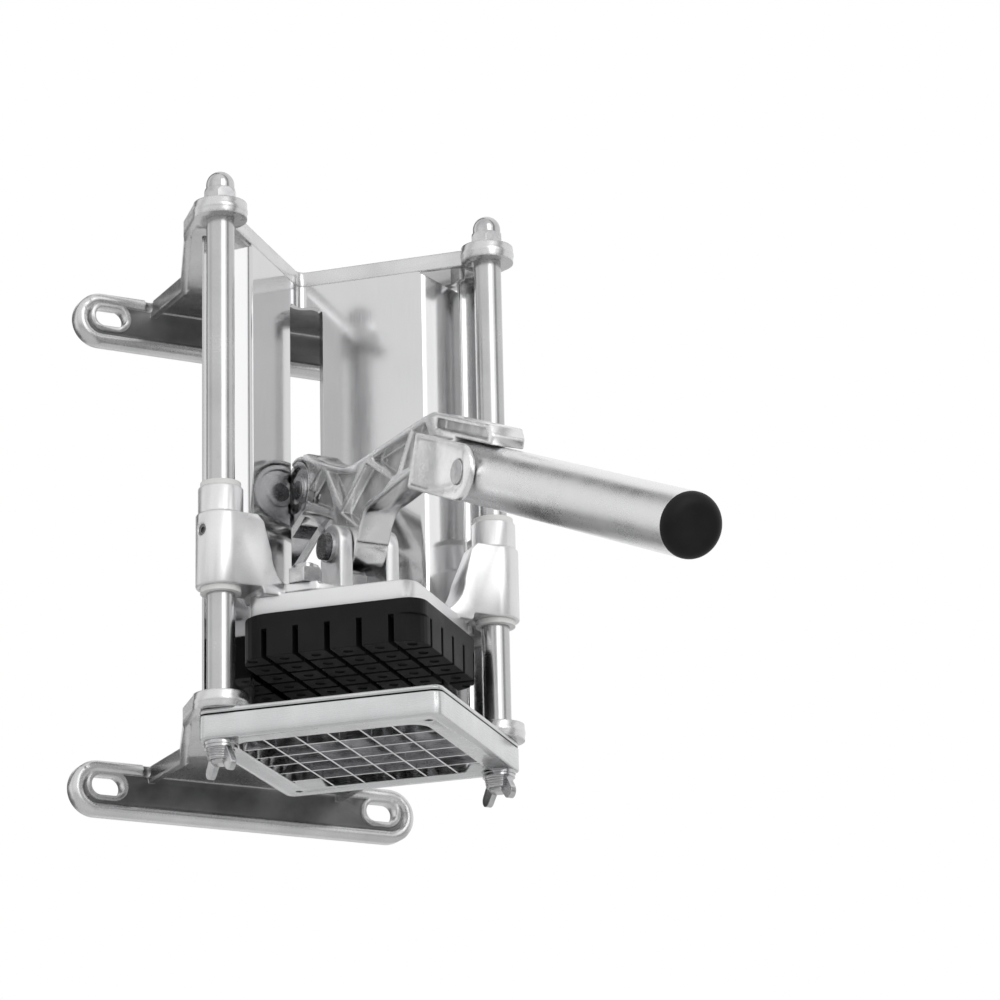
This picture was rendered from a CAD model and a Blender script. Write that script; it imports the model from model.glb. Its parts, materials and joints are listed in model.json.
# %% [markdown]
# # A wall-mounted french fry cutter
# Two cast supports stand on a wall and carry two steel rods. A carriage slides
# on the rods and pushes a potato down a folded trough, through a grid of
# blades. This notebook loads the finished shapes and gives them their looks.
# The shapes are exact already, so the work here is metal: how it is ground,
# cast or brushed, and how its edges are broken.

import json
import math

import bmesh
import bpy
from mathutils import Matrix, Vector


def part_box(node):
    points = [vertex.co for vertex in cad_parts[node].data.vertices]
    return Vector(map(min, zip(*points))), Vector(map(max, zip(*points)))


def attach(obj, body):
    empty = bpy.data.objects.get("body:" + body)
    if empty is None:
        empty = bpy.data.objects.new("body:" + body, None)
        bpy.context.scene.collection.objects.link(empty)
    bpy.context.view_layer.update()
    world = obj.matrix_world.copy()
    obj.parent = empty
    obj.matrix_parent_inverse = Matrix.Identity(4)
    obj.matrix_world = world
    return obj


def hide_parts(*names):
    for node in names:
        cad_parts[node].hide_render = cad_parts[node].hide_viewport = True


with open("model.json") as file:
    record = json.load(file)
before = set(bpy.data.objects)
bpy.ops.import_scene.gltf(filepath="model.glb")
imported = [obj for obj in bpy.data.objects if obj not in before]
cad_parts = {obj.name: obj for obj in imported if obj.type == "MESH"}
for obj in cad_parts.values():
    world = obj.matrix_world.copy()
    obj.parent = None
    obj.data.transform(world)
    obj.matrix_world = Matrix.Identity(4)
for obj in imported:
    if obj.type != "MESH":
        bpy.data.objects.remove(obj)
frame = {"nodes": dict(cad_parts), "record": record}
nodes = frame["nodes"]
slots = {part["node"]: part["material_slot"] for part in frame["record"]["subparts"]}
body_of = {
    name: body for body, members in frame["record"]["behaviour"]["bodies"].items() for name in members
}
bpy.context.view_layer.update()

# %% [markdown]
# ## The camera
# The cutter hangs above eye level, so the camera stands low, to the left of
# the middle, and looks up. A long lens keeps the rods almost parallel. The
# three angles are in radians, and the matrix is written from them directly,
# because that also allows the slight roll, which aiming at a point doesn't.

# %% Place the camera
TURN, RISE, ROLL = 0.476, 0.315, -0.0232
LENS = 148.54
STANDPOINT = (-0.7127, -1.6406, -0.5522)

forward = Vector((math.sin(TURN) * math.cos(RISE), math.cos(TURN) * math.cos(RISE), math.sin(RISE)))
level_right = Vector((math.cos(TURN), -math.sin(TURN), 0.0))
level_up = level_right.cross(forward)
right = math.cos(ROLL) * level_right + math.sin(ROLL) * level_up
up = -math.sin(ROLL) * level_right + math.cos(ROLL) * level_up

scene = bpy.context.scene
lens = bpy.data.cameras.new("camera")
lens.sensor_width = 36.0
lens.lens = LENS
lens.clip_start = 0.05
camera = bpy.data.objects.new("camera", lens)
scene.collection.objects.link(camera)
turned = Matrix((right, up, -forward)).transposed().to_4x4()
camera.matrix_world = Matrix.Translation(STANDPOINT) @ turned
scene.camera = camera
print("camera looks along", [round(part, 3) for part in forward])

# %% [markdown]
# ## Helpers for shader trees
# Every finish below is a tree of nodes. One small function makes a node, sets
# its values and wires the sockets it is given, so a tree reads from top to
# bottom like a recipe. The others are short names for the steps that come
# again and again: a sum, a change of range, a mix of two colours, one
# coordinate of a place, and the swing of a noise, whose values mostly lie near
# the middle.


# %% Small helpers
def add(tree, kind, inputs=None, **settings):
    made = tree.nodes.new(kind)
    for key, value in settings.items():
        setattr(made, key, value)
    for key, value in (inputs or {}).items():
        if isinstance(value, bpy.types.NodeSocket):
            tree.links.new(value, made.inputs[key])
        else:
            made.inputs[key].default_value = value
    return made


def worked(tree, operation, *values):
    return add(tree, "ShaderNodeMath", dict(enumerate(values)), operation=operation).outputs[0]


def ranged(tree, value, low, high, to_low, to_high):
    limits = {"From Min": low, "From Max": high, "To Min": to_low, "To Max": to_high}
    return add(tree, "ShaderNodeMapRange", {"Value": value, **limits}).outputs["Result"]


def swing(tree, noise, low, high, tail=0.3):
    """Moves a noise, without its rare ends, to the range from low to high."""
    return ranged(tree, noise, tail, 1 - tail, low, high)


def mixed(tree, factor, first, second, way="MIX"):
    colours = {"Factor": factor, "A": first, "B": second}
    return add(tree, "ShaderNodeMix", colours, data_type="RGBA", blend_type=way).outputs["Result"]


def measured(tree, vector, axis):
    return add(tree, "ShaderNodeSeparateXYZ", {0: vector}).outputs[axis]


print("helpers ready")

# %% [markdown]
# ## The room
# Polished metal has no look of its own: it shows the room. The room is plain
# white, as a product studio is, with soft grey bands that stand for the dark
# edges of its cloths. Round bars pick the bands up as fine long lines. Low
# down the room is darker, most of all in front, where a studio has its table.
# Only glossy rays see all this: the camera itself sees white. Numbers do it
# here, in place of cards round the object, because they cast no shadows.

# %% White world with grey bands
ROOM_LIGHT = 0.74
# Each band: its heading, half its width, and the brightness in its middle
BANDS = [
    (math.radians(101), 0.32, 0.12),
    (math.radians(157), 0.36, 0.78),
    (math.radians(-52), 0.26, 0.38),
]
BAND_CORE = 0.4
LOW_FROM, LOW_TO = -0.42, 0.02
LOW_IN_FRONT, LOW_BEHIND = 0.18, 0.62
FRONT_TO_BACK = 0.2

scene.view_settings.view_transform = "Standard"
world = bpy.data.worlds.new("studio")
scene.world = world
world.use_nodes = True
room = world.node_tree
backdrop = room.nodes["Background"]
look = add(room, "ShaderNodeSeparateXYZ", {0: add(room, "ShaderNodeTexCoord").outputs["Generated"]})
heading = worked(room, "ARCTAN2", look.outputs["Y"], look.outputs["X"])
dusk = ranged(room, look.outputs["Y"], -FRONT_TO_BACK, FRONT_TO_BACK, LOW_IN_FRONT, LOW_BEHIND)
shade = ranged(room, look.outputs["Z"], LOW_FROM, LOW_TO, dusk, 1.0)
for centre, half_width, depth in BANDS:
    apart = worked(room, "ABSOLUTE", worked(room, "SUBTRACT", heading, centre))
    band = ranged(room, apart, half_width * BAND_CORE, half_width, depth, 1.0)
    shade = worked(room, "MULTIPLY", shade, band)
rays = add(room, "ShaderNodeLightPath").outputs
mirrored = add(room, "ShaderNodeMix", {"Factor": rays["Is Glossy Ray"], "A": ROOM_LIGHT, "B": shade})
direct = worked(room, "MAXIMUM", rays["Is Camera Ray"], rays["Is Transmission Ray"])
seen = add(room, "ShaderNodeMix", {"Factor": direct, "A": mirrored.outputs["Result"], "B": 1.0})
room.links.new(seen.outputs["Result"], backdrop.inputs["Strength"])
backdrop.inputs["Color"].default_value = (1, 1, 1, 1)
print("bands of shade in the room:", len(BANDS))

# %% [markdown]
# A soft box stands in front and a little above. It makes the bright line down
# each rod and the shadow under every edge. A weak one to its right whitens the
# faces that look straight out from the wall. The floor is a pale sheet far
# below, at the height it has under a cutter on a wall.

# %% Soft boxes and floor
FLOOR_DROP = 1.4
FLOOR_HALF = 4
FLOOR_TONE, FLOOR_ROUGH = 0.85, 0.8


def soft_box(name, place, aim, size, watts):
    lamp = bpy.data.lights.new(name, "AREA")
    lamp.shape = "RECTANGLE"
    lamp.size, lamp.size_y = size
    lamp.energy = watts
    holder = bpy.data.objects.new(name, lamp)
    scene.collection.objects.link(holder)
    facing = (Vector(aim) - Vector(place)).to_track_quat("-Z", "Y")
    holder.matrix_world = Matrix.Translation(place) @ facing.to_matrix().to_4x4()


soft_box("front_soft_box", place=(-0.06, -1.75, 0.62), aim=(0, -0.2, 0), size=(0.8, 1.3), watts=5.4)
soft_box("flange_soft_box", place=(0.64, -1.75, 0.60), aim=(-0.05, -0.11, 0), size=(0.50, 1.0), watts=0.85)

sheet = bpy.data.meshes.new("floor")
corners = [(x * FLOOR_HALF, y * FLOOR_HALF, -FLOOR_DROP) for x, y in ((-1, -1), (1, -1), (1, 1), (-1, 1))]
sheet.from_pydata(corners, [], [(0, 1, 2, 3)])
floor = bpy.data.objects.new("floor", sheet)
scene.collection.objects.link(floor)
floor_paint = bpy.data.materials.new("floor_paint")
floor_paint.use_nodes = True
paint = floor_paint.node_tree.nodes["Principled BSDF"].inputs
paint["Base Color"].default_value = (FLOOR_TONE, FLOOR_TONE, FLOOR_TONE, 1)
paint["Roughness"].default_value = FLOOR_ROUGH
sheet.materials.append(floor_paint)
print("floor at", -FLOOR_DROP)

# %% [markdown]
# ## Worn edges
# Hands and cloths rub an edge more than a face. The Bevel node gives the
# normal that a small round would have, and where that normal turns away from
# the face's own, the surface is close to an edge. It needs no extra faces, so
# it is used on every piece, also on the small ones.

# %% Find the edges
ALONG_FACE, ON_EDGE = 0.97, 0.80


def worn_edge(tree, radius):
    """The rounded normal, and how far it turns from the face's own, from 0 to 1."""
    rounded = add(tree, "ShaderNodeBevel", {"Radius": radius}, samples=4).outputs[0]
    flat = add(tree, "ShaderNodeNewGeometry").outputs["Normal"]
    agree = add(tree, "ShaderNodeVectorMath", {0: rounded, 1: flat}, operation="DOT_PRODUCT")
    return rounded, ranged(tree, agree.outputs["Value"], ALONG_FACE, ON_EDGE, 0.0, 1.0)


print("edge finder ready")

# %% [markdown]
# ## Floors of cast pockets
# A polishing wheel reaches the rims of a casting, and not the floors between
# them, which stay dark and dull from the mould. All the floors here lie near
# one plane and face straight out from it: the lever's are near its middle and
# face sideways, and the feet's are near the wall and face forward. Place and
# normal are enough to find them, so no mask is painted.

# %% Dull the pockets
FACING_FROM, FACING_TO = 0.7, 0.95
FADE = 1.2
MATT = 0.16


def pocket_skin(tree, place, noise, skin, gloss, axis, depth, low, high):
    """Darker, duller metal on faces square to an axis and closer to its zero than depth."""
    normal = add(tree, "ShaderNodeNewGeometry").outputs["Normal"]
    near = worked(tree, "ABSOLUTE", measured(tree, place, axis))
    side = worked(tree, "ABSOLUTE", measured(tree, normal, axis))
    sunk = worked(
        tree, "MULTIPLY", ranged(tree, near, depth, depth * FADE, 1.0, 0.0),
        ranged(tree, side, FACING_FROM, FACING_TO, 0.0, 1.0),
    )
    dull = mixed(tree, 1.0, skin, swing(tree, noise, low, high, tail=0.35), "MULTIPLY")
    matt = worked(tree, "MULTIPLY", sunk, MATT)
    return mixed(tree, sunk, skin, dull), worked(tree, "ADD", gloss, matt)


print("pocket recipe ready")

# %% [markdown]
# Where two machined pieces are bolted together, grime settles in the joint
# and draws a thin dark line round them. The joint is level, so its height is
# all that the line needs.

# %% Draw a dark joint
GRIME = (0.03, 0.03, 0.03, 1)
GRIME_HALF, GRIME_FADE = 0.0003, 0.0005


def joint_line(tree, place, skin, height):
    apart = worked(tree, "ABSOLUTE", worked(tree, "SUBTRACT", measured(tree, place, "Z"), height))
    return mixed(tree, ranged(tree, apart, GRIME_HALF, GRIME_FADE, 1.0, 0.0), skin, GRIME)


print("joint recipe ready")

# %% [markdown]
# ## Metal
# All the metals share one recipe. Slow noise shifts the tone a little, as
# handling and casting do. Fast noise, stretched along the grinding direction,
# gives the grain its tone, its roughness and its tiny grooves. Worn edges are
# rubbed brighter, and the gloss is smeared by hands. A casting out of a steel
# mould also ripples, which a wide, low bump does.

# %% The recipe for metal
RUB = 1.12
SMEAR = 0.15


def metal(name, light, dark, rough, spread, grain, groove, edge=0.0006, cloud=45, comb=0.04,
          ripple=None, sunk=None, joint=None):
    """In metres, groove is a bump's depth, edge a radius, and ripple a noise scale and a depth."""
    material = bpy.data.materials.new(name)
    material.use_nodes = True
    tree = material.node_tree
    shader = tree.nodes["Principled BSDF"].inputs
    place = add(tree, "ShaderNodeTexCoord").outputs["Object"]
    slow = add(tree, "ShaderNodeTexNoise", {"Vector": place, "Scale": cloud, "Detail": 4.0}).outputs[0]
    drawn = add(tree, "ShaderNodeMapping", {"Vector": place, "Scale": grain}).outputs[0]
    fast = add(tree, "ShaderNodeTexNoise", {"Vector": drawn, "Scale": 1.0, "Detail": 3.0}).outputs[0]
    rounded, rubbed = worn_edge(tree, edge)

    skin = mixed(tree, swing(tree, slow, 0.0, 1.0, tail=0.32), (*dark, 1), (*light, 1))
    skin = mixed(tree, 1.0, skin, swing(tree, fast, 1.0 - comb, 1.0 + comb / 2), "MULTIPLY")
    bright = [min(1.0, part * RUB) for part in light]
    skin = mixed(tree, rubbed, skin, (*bright, 1))
    gloss = swing(tree, fast, rough - spread, rough + spread)
    if sunk:
        skin, gloss = pocket_skin(tree, place, slow, skin, gloss, *sunk)
    if joint:
        skin = joint_line(tree, place, skin, joint)
    gloss = worked(tree, "MULTIPLY", gloss, swing(tree, slow, 1.0 - SMEAR, 1.0 + SMEAR))

    normal = add(
        tree, "ShaderNodeBump", {"Height": fast, "Distance": groove, "Strength": 1.0, "Normal": rounded}
    ).outputs[0]
    if ripple:
        scale, height = ripple
        rolling = add(tree, "ShaderNodeTexNoise", {"Vector": place, "Scale": scale, "Detail": 2.0})
        wave = {"Height": rolling.outputs[0], "Distance": height, "Strength": 1.0, "Normal": normal}
        normal = add(tree, "ShaderNodeBump", wave).outputs[0]
    tree.links.new(skin, shader["Base Color"])
    tree.links.new(gloss, shader["Roughness"])
    tree.links.new(normal, shader["Normal"])
    shader["Metallic"].default_value = 1.0
    return material


print("metal recipe ready")

# %% [markdown]
# The supports and the carriage are sand-cast aluminium, blasted to a satin and
# polished on their rims. The lever is the same metal out of a steel mould, so
# it is glossier and ripples. All three differ in how far they are polished.

# %% Mix the cast metals
finishes = {
    "casting": metal(
        "cast_aluminium", light=(0.70, 0.70, 0.705), dark=(0.58, 0.58, 0.585), rough=0.27, spread=0.05,
        grain=(2600, 2600, 2600), groove=0.000010, edge=0.0009, sunk=("Y", 0.0058, 0.22, 0.34),
    ),
    "carriage_casting": metal(
        "satin_aluminium", light=(0.79, 0.79, 0.795), dark=(0.71, 0.71, 0.72), rough=0.36, spread=0.05,
        grain=(2200, 2200, 2200), groove=0.000012, edge=0.001,
    ),
    "lever_casting": metal(
        "bright_casting", light=(0.86, 0.86, 0.86), dark=(0.70, 0.70, 0.705), rough=0.22, spread=0.05,
        grain=(1400, 1400, 1400), groove=0.000008, edge=0.0012, cloud=90,
        ripple=(150, 0.00008), sunk=("X", 0.0031, 0.55, 0.85),
    ),
}
print("cast metals:", len(finishes))

# %% [markdown]
# Sheet, rods, ring and blades are ground or brushed, and their grain runs one
# way: the noise is fine across it and slow along it. The trough is polished so
# far that the rods are mirrored in it.

# %% Mix the ground metals
finishes["trough_sheet"] = metal(
    "polished_sheet", light=(0.66, 0.66, 0.665), dark=(0.62, 0.62, 0.625), rough=0.115, spread=0.03,
    grain=(4200, 4200, 70), groove=0.000002, edge=0.0004, cloud=20, comb=0.025,
)
finishes["steel_sheet"] = metal(
    "plain_sheet", light=(0.50, 0.50, 0.51), dark=(0.40, 0.40, 0.41), rough=0.28, spread=0.05,
    grain=(2500, 2500, 90), groove=0.000006, edge=0.0004,
)
finishes["rod_steel"] = metal(
    "ground_bar", light=(0.54, 0.54, 0.545), dark=(0.47, 0.47, 0.475), rough=0.23, spread=0.03,
    grain=(900, 900, 5200), groove=0.000003, edge=0.0004, comb=0.05,
)
finishes["frame_metal"] = metal(
    "brushed_aluminium", light=(0.68, 0.685, 0.69), dark=(0.58, 0.585, 0.59), rough=0.27, spread=0.05,
    grain=(90, 90, 5200), groove=0.000008, comb=0.05, joint=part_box("blade_clamp_plate")[0].z,
)
finishes["blade_steel"] = metal(
    "blade_steel", light=(0.72, 0.72, 0.73), dark=(0.56, 0.56, 0.57), rough=0.14, spread=0.04,
    grain=(300, 300, 1800), groove=0.000004, edge=0.0002,
)
print("metals:", len(finishes))

# %% [markdown]
# The fasteners are plated and stained in small patches, the pins are plain
# dark steel, and the lever's bush is bronze. The handle's tube and the link
# plates are brighter than the other steel, so they get finishes of their own.

# %% Mix the metals of the small parts
finishes["hardware"] = metal(
    "plated_steel", light=(0.64, 0.64, 0.645), dark=(0.42, 0.42, 0.43), rough=0.18, spread=0.05,
    grain=(900, 900, 900), groove=0.00001, edge=0.0005, cloud=160,
)
finishes["pin_steel"] = metal(
    "dark_steel", light=(0.22, 0.22, 0.225), dark=(0.14, 0.14, 0.145), rough=0.28, spread=0.06,
    grain=(900, 900, 900), groove=0.000004, edge=0.0003, cloud=160,
)
finishes["bush_bronze"] = metal(
    "bronze", light=(0.55, 0.38, 0.18), dark=(0.42, 0.28, 0.13), rough=0.32, spread=0.05,
    grain=(900, 900, 900), groove=0.00001, edge=0.0003, cloud=160,
)
finishes["handle_satin"] = metal(
    "satin_tube", light=(0.86, 0.86, 0.865), dark=(0.81, 0.81, 0.82), rough=0.29, spread=0.04,
    grain=(1800, 1800, 1800), groove=0.000004, edge=0.0004,
)
finishes["link_plate"] = metal(
    "bright_plate", light=(0.74, 0.74, 0.745), dark=(0.58, 0.58, 0.59), rough=0.22, spread=0.05,
    grain=(1500, 1500, 1500), groove=0.000006, cloud=90,
)
print("metals:", len(finishes))

# %% [markdown]
# ## Plastic
# The pusher block is moulded black plastic: nearly no colour, a fine grain
# from the mould, and grey scuffs on its corners from scraping potatoes. The
# rod bushes are the pale bearing plastic that runs dry on steel. Scuffs come
# in patches, so the worn edge is multiplied by the slow noise.

# %% Mix the plastics
MOULDED_EDGE = 0.0006
BLOTCHES, MOULD_GRAIN = 70.0, 2400.0
PATCH_FROM, PATCH_TO = 0.4, 0.7
SCUFF_GAIN, SCUFF_LIFT = 1.5, 0.01
WORN_IN = 0.06


def plastic(name, light, dark, rough, shine, grain_depth):
    material = bpy.data.materials.new(name)
    material.use_nodes = True
    tree = material.node_tree
    shader = tree.nodes["Principled BSDF"].inputs
    place = add(tree, "ShaderNodeTexCoord").outputs["Object"]
    slow = add(tree, "ShaderNodeTexNoise", {"Vector": place, "Scale": BLOTCHES, "Detail": 5.0}).outputs[0]
    fast = add(tree, "ShaderNodeTexNoise", {"Vector": place, "Scale": MOULD_GRAIN, "Detail": 2.0}).outputs[0]
    rounded, worn = worn_edge(tree, MOULDED_EDGE)
    scuffed = worked(tree, "MULTIPLY", worn, ranged(tree, slow, PATCH_FROM, PATCH_TO, 0.0, 1.0))
    skin = mixed(tree, swing(tree, slow, 0.0, 1.0), (*dark, 1), (*light, 1))
    pale = [min(1.0, part * SCUFF_GAIN + SCUFF_LIFT) for part in light]
    tree.links.new(mixed(tree, scuffed, skin, (*pale, 1)), shader["Base Color"])
    tree.links.new(swing(tree, slow, rough - WORN_IN, rough + WORN_IN), shader["Roughness"])
    shader["Specular IOR Level"].default_value = shine
    grain = {"Height": fast, "Distance": grain_depth, "Strength": 1.0, "Normal": rounded}
    tree.links.new(add(tree, "ShaderNodeBump", grain).outputs[0], shader["Normal"])
    return material


finishes["black_plastic"] = plastic(
    "black_plastic", light=(0.012, 0.012, 0.012), dark=(0.006, 0.006, 0.006),
    rough=0.48, shine=0.16, grain_depth=0.00002,
)
finishes["bush_plastic"] = plastic(
    "pale_plastic", light=(0.80, 0.80, 0.79), dark=(0.72, 0.72, 0.70),
    rough=0.40, shine=0.5, grain_depth=0.00001,
)
print("finishes:", len(finishes))

# %% [markdown]
# ## Dress the shapes
# Each shape takes the finish of its material slot. Four of them are finished
# differently from the rest of their slot, so they are named one by one.

# %% Dress the shapes
OWN_FINISH = {
    "carriage": "carriage_casting", "handle_tube": "handle_satin",
    "left_link": "link_plate", "right_link": "link_plate",
}


def finish_for(name):
    return finishes[OWN_FINISH.get(name, slots[name])]


for name, thing in nodes.items():
    thing.data.materials.clear()
    thing.data.materials.append(finish_for(name))
print("dressed:", len(nodes))

# %% [markdown]
# ## Broken edges
# No casting and no machined plate has a knife edge: the mould rounds it, or a
# file breaks it. The light catches that narrow round, and it is what tells the
# eye that the piece is solid metal. Each big piece is copied, its loose
# triangles are joined and its flat faces made whole, and then its edges are
# rounded. On the castings a Bevel modifier rounds every edge, and inner
# corners get the fillet that a mould leaves. The ring and its clamp plate are
# squares that stand on a corner, and only their outer rims are broken, so
# those edges are picked out and cut in the mesh itself.

# %% Pick the rim of a square
ROD_REACH = 0.064
ROD_DEPTH = -0.127


def level_rim(shape, reach, join):
    """The level edges of a square on its corner, further out than reach from its middle."""
    rim = []
    for edge in shape.edges:
        low, high = (corner.co for corner in edge.verts)
        middle = (low + high) / 2
        if abs(low.z - high.z) < join and abs(middle.x) + abs(middle.y - ROD_DEPTH) > reach:
            rim.append(edge)
    return rim


print("rims are measured from depth", ROD_DEPTH)

# %% [markdown]
# The copy is what is seen, and it takes the place of its shape. The width of
# the round and the distance at which loose corners are joined are given for
# each piece. The supports also get the modifier's clamp, which narrows a round
# where a short edge leaves it no room.

# %% Round the edges of the big pieces
FLAT = math.radians(0.6)
SHARP = math.radians(32)


def soften(name, width, join, clamp=False, rim=None):
    shape = bmesh.new()
    shape.from_mesh(nodes[name].data)
    bmesh.ops.remove_doubles(shape, verts=shape.verts, dist=join)
    bmesh.ops.dissolve_degenerate(shape, edges=shape.edges, dist=join)
    bmesh.ops.dissolve_limit(shape, angle_limit=FLAT, verts=shape.verts, edges=shape.edges)
    bmesh.ops.recalc_face_normals(shape, faces=shape.faces)
    if rim:
        edges = level_rim(shape, rim, join)
        bmesh.ops.bevel(shape, geom=edges, offset=width, segments=2, profile=0.5, affect="EDGES")
    joined = bpy.data.meshes.new("finished_" + name)
    shape.to_mesh(joined)
    shape.free()
    joined.shade_smooth()
    piece = bpy.data.objects.new("finished_" + name, joined)
    scene.collection.objects.link(piece)
    if not rim:
        bevel = piece.modifiers.new("broken_edges", "BEVEL")
        bevel.width = width
        bevel.segments = 2
        bevel.limit_method = "ANGLE"
        bevel.angle_limit = SHARP
        bevel.use_clamp_overlap = clamp
        bevel.harden_normals = True
    bpy.context.view_layer.update()
    rounded = bpy.data.meshes.new_from_object(piece.evaluated_get(bpy.context.evaluated_depsgraph_get()))
    piece.modifiers.clear()
    piece.data = rounded
    rounded.materials.clear()
    rounded.materials.append(finish_for(name))
    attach(piece, body_of[name])
    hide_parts(name)
    print(piece.name, "faces:", len(rounded.polygons))


soften("top_support", width=0.0007, join=0.0003, clamp=True)
soften("bottom_support", width=0.0007, join=0.0003, clamp=True)
soften("blade_clamp_plate", width=0.0011, join=0.00012, rim=0.070)
soften("blade_frame", width=0.0007, join=0.00012, rim=0.070)
soften("carriage", width=0.0005, join=0.00012)
soften("lever", width=0.0007, join=0.00012)

# %% [markdown]
# ## Threads
# The rods end in threads, and the wing nuts' bodies are cut by turned rings
# that give the fingers a hold. Both are one wire wound round a cone, so a
# Curve Spiral does them: its radius at either end, its height and its turns
# are inputs, and a thin wire is swept along it. The wire has five sides,
# because at this size more can't be seen. Every tree ends in the same nodes,
# which make real faces and give them their finish.


# %% A tree that winds a ridge
def finish_tree(tree, geometry, material):
    real = add(tree, "GeometryNodeRealizeInstances", {"Geometry": geometry})
    painted = add(tree, "GeometryNodeSetMaterial", {
        "Geometry": real.outputs["Geometry"], "Material": material,
    })
    end = tree.nodes.new("NodeGroupOutput")
    tree.links.new(painted.outputs["Geometry"], end.inputs["Geometry"])


def ridge_tree():
    tree = bpy.data.node_groups.new("wound_ridge", "GeometryNodeTree")
    face = tree.interface
    face.new_socket("Geometry", in_out="OUTPUT", socket_type="NodeSocketGeometry")
    for label in ("Low radius", "Top radius", "Height", "Turns", "Wire"):
        face.new_socket(label, in_out="INPUT", socket_type="NodeSocketFloat")
    face.new_socket("Finish", in_out="INPUT", socket_type="NodeSocketMaterial")
    asked = tree.nodes.new("NodeGroupInput").outputs
    wound = add(tree, "GeometryNodeCurveSpiral", {
        "Resolution": 32, "Rotations": asked["Turns"], "Start Radius": asked["Low radius"],
        "End Radius": asked["Top radius"], "Height": asked["Height"],
    })
    wire = add(tree, "GeometryNodeCurvePrimitiveCircle", {"Resolution": 5, "Radius": asked["Wire"]})
    swept = add(tree, "GeometryNodeCurveToMesh", {
        "Curve": wound.outputs["Curve"], "Profile Curve": wire.outputs["Curve"], "Fill Caps": True,
    })
    finish_tree(tree, swept.outputs["Mesh"], asked["Finish"])
    return tree


print("ridge tree ready")

# %% [markdown]
# A tree only runs inside a modifier. The next helper gives a piece that
# modifier, sets the inputs by their identifiers, keeps the result as a plain
# mesh and takes the modifier away, so that what is exported is what is seen.


# %% Run a tree
def grow(tree, name, values, place, body, start_from=None):
    piece = bpy.data.objects.new(name, start_from or bpy.data.meshes.new(name))
    scene.collection.objects.link(piece)
    made = piece.modifiers.new("made", "NODES")
    made.node_group = tree
    for item in tree.interface.items_tree:
        if item.in_out == "INPUT" and item.name in values:
            made[item.identifier] = values[item.name]
    bpy.context.view_layer.update()
    result = bpy.data.meshes.new_from_object(piece.evaluated_get(bpy.context.evaluated_depsgraph_get()))
    piece.modifiers.clear()
    result.transform(Matrix.Translation(place))
    shape = bmesh.new()
    shape.from_mesh(result)
    bmesh.ops.recalc_face_normals(shape, faces=shape.faces)
    shape.to_mesh(result)
    shape.free()
    piece.data = result
    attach(piece, body)
    print(name, "faces:", len(result.polygons))


print("ready to run trees")

# %% [markdown]
# The thread shows for one turn under each wing nut, at the rod's very tip. The
# rings sit below the nut's flange and widen towards it, as its body does.

# %% Cut the threads and the rings
TIP_GAP = 0.0008
RINGS_DOWN = 0.0057
THREAD = {"Low radius": 0.0040, "Top radius": 0.0040, "Height": 0.0012, "Turns": 1.0,
          "Wire": 0.00030, "Finish": finishes["rod_steel"]}
RINGS = {"Low radius": 0.0052, "Top radius": 0.0060, "Height": 0.0040, "Turns": 4.0,
         "Wire": 0.00034, "Finish": finishes["hardware"]}

ridge = ridge_tree()
for side, sign in (("left", -1), ("right", 1)):
    tip = Vector((sign * ROD_REACH, ROD_DEPTH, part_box("left_rod")[0].z + TIP_GAP))
    grow(ridge, f"{side}_stud_thread", THREAD, tip, "frame")
    nut_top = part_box(f"{side}_wing_nut")[1].z
    start = Vector((sign * ROD_REACH, ROD_DEPTH, nut_top - RINGS_DOWN))
    grow(ridge, f"{side}_wing_nut_rings", RINGS, start, f"{side}_wing_nut")

# %% [markdown]
# ## Marks of the mould
# Round pins push the hot lever out of its steel mould, and each leaves a low
# round pad on a pocket's floor. The places are points, and Geometry Nodes put
# one shallow cone on each of them, turned to the side that the point is on.

# %% A tree that sets a pad on every point
PAD_TOP = 0.72


def pad_tree():
    tree = bpy.data.node_groups.new("mould_pads", "GeometryNodeTree")
    face = tree.interface
    face.new_socket("Geometry", in_out="INPUT", socket_type="NodeSocketGeometry")
    face.new_socket("Geometry", in_out="OUTPUT", socket_type="NodeSocketGeometry")
    for label in ("Radius", "Height"):
        face.new_socket(label, in_out="INPUT", socket_type="NodeSocketFloat")
    face.new_socket("Finish", in_out="INPUT", socket_type="NodeSocketMaterial")
    asked = tree.nodes.new("NodeGroupInput").outputs
    pad = add(tree, "GeometryNodeMeshCone", {
        "Vertices": 20, "Side Segments": 2, "Fill Segments": 2, "Depth": asked["Height"],
        "Radius Top": worked(tree, "MULTIPLY", asked["Radius"], PAD_TOP), "Radius Bottom": asked["Radius"],
    })
    side = measured(tree, add(tree, "GeometryNodeInputPosition").outputs[0], "X")
    outwards = add(tree, "ShaderNodeCombineXYZ", {"X": side})
    lean = add(tree, "FunctionNodeAlignEulerToVector", {"Vector": outwards.outputs[0]}, axis="Z")
    points = add(tree, "GeometryNodeMeshToPoints", {"Mesh": asked["Geometry"]})
    set_down = add(tree, "GeometryNodeInstanceOnPoints", {
        "Points": points.outputs[0], "Instance": pad.outputs["Mesh"], "Rotation": lean.outputs[0],
    })
    finish_tree(tree, set_down.outputs[0], asked["Finish"])
    return tree


print("pad tree ready")

# %% [markdown]
# The pads' places are measured from the lever's pivot, back and up, because
# the lever turns about it. Both sides of the lever have them.

# %% Set the pads in the lever
PIVOT = Vector((0, ROD_DEPTH, -0.029))
POCKET_FLOOR = 0.0025
PADS = [(-0.0330, 0.0302), (0.0350, 0.0350), (-0.0632, 0.0226), (0.0150, 0.0372)]
PAD = {"Radius": 0.0016, "Height": 0.0004, "Finish": finishes["lever_casting"]}

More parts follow.
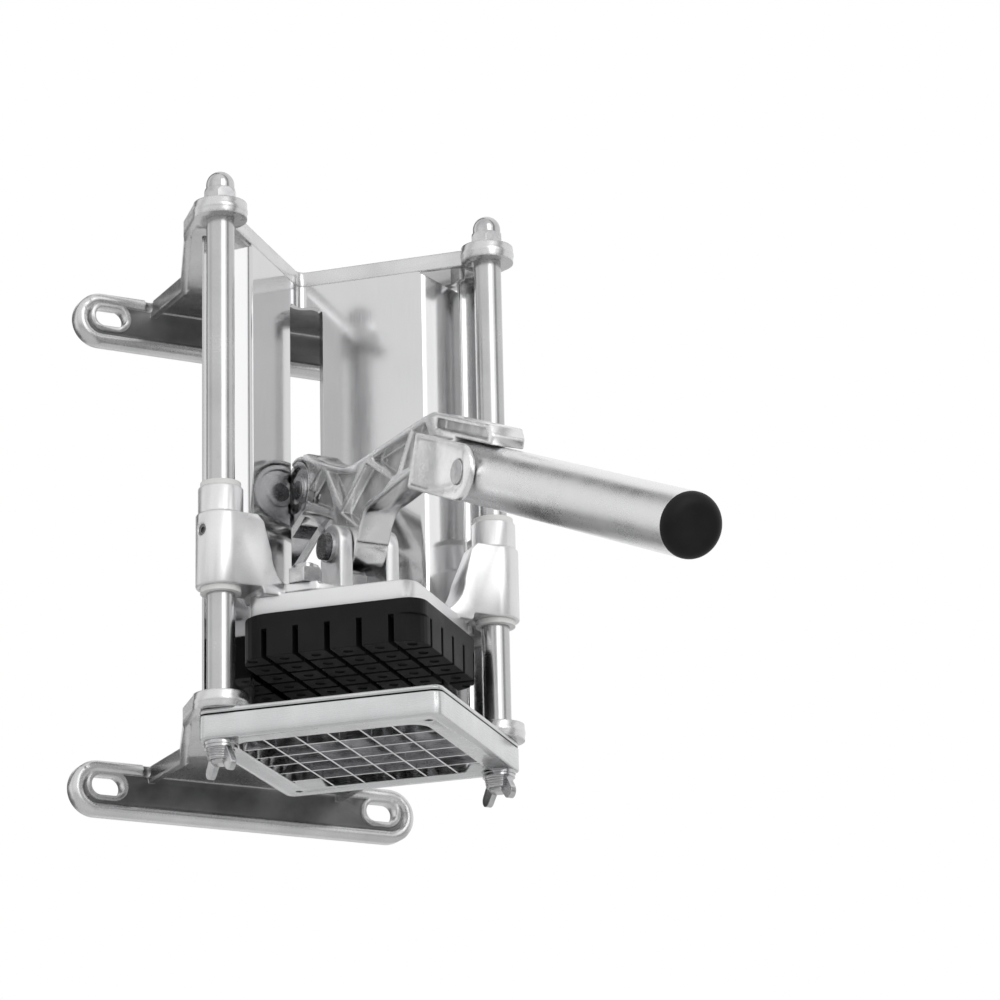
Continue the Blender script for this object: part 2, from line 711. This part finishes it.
places = [PIVOT + Vector((side * POCKET_FLOOR, back, rise)) for side in (-1, 1) for back, rise in PADS]
spots = bpy.data.meshes.new("pad_spots")
spots.from_pydata(places, [], [])
grow(pad_tree(), "lever_mould_pads", PAD, (0, 0, 0), "lever", spots)

# %% [markdown]
# ## The lips of the trough
# The sheet doesn't end at its flanges. A last shallow fold runs forward behind
# each rod and stiffens the long edge. It is one profile drawn along the
# height, so its mesh is written out: the outline seen from above, once at the
# foot and once at the top. Each corner is a step out from the flange's end and
# a step forward from its face. The real sheet sits a little to the right, so
# the right lip is given the longer reach.

# %% The lip seen from above
LIP_SLOPE = math.tan(math.radians(20))
LIP_SHEET = 0.0012
LIP_REACH = {"left": 0.0044, "right": 0.0066}
FOLD_END, FOLD_SWELL = 0.0012, 0.00008
BEND_EXTRA, ROOT_EXTRA = 0.0003, 0.0004
FOOT_GAP, TOP_GAP = 0.0001, 0.0004


def lip_outline(reach):
    fold_rise, end_rise = FOLD_END * LIP_SLOPE, reach * LIP_SLOPE
    return [
        (0.0, 0.0), (FOLD_END / 2, FOLD_SWELL), (FOLD_END, fold_rise), (reach, end_rise),
        (reach + LIP_SHEET * LIP_SLOPE, end_rise - LIP_SHEET),
        (FOLD_END, fold_rise - LIP_SHEET - BEND_EXTRA), (0.0, -LIP_SHEET - ROOT_EXTRA),
    ]


print("lips reach out by", LIP_REACH)

# %% [markdown]
# Two rings of corners and the faces between them close the lip on all sides.
# Its foot and its top stop just short of the sheet's own ends.

# %% Fold the lips
trough_low, trough_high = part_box("trough")
for side, sign in (("left", -1), ("right", 1)):
    plan = lip_outline(LIP_REACH[side])
    shape = bmesh.new()
    foot, top = (
        [shape.verts.new((sign * (trough_high.x + out), trough_low.y - rise, z)) for out, rise in plan]
        for z in (trough_low.z + FOOT_GAP, trough_high.z - TOP_GAP)
    )
    shape.faces.new(foot)
    shape.faces.new(top)
    for i in range(len(plan)):
        j = (i + 1) % len(plan)
        shape.faces.new((foot[i], foot[j], top[j], top[i]))
    bmesh.ops.recalc_face_normals(shape, faces=shape.faces)
    folded = bpy.data.meshes.new(f"{side}_trough_lip")
    shape.to_mesh(folded)
    shape.free()
    folded.materials.append(finishes["trough_sheet"])
    lip = bpy.data.objects.new(f"{side}_trough_lip", folded)
    scene.collection.objects.link(lip)
    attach(lip, "frame")
    print(lip.name, "faces:", len(folded.polygons))
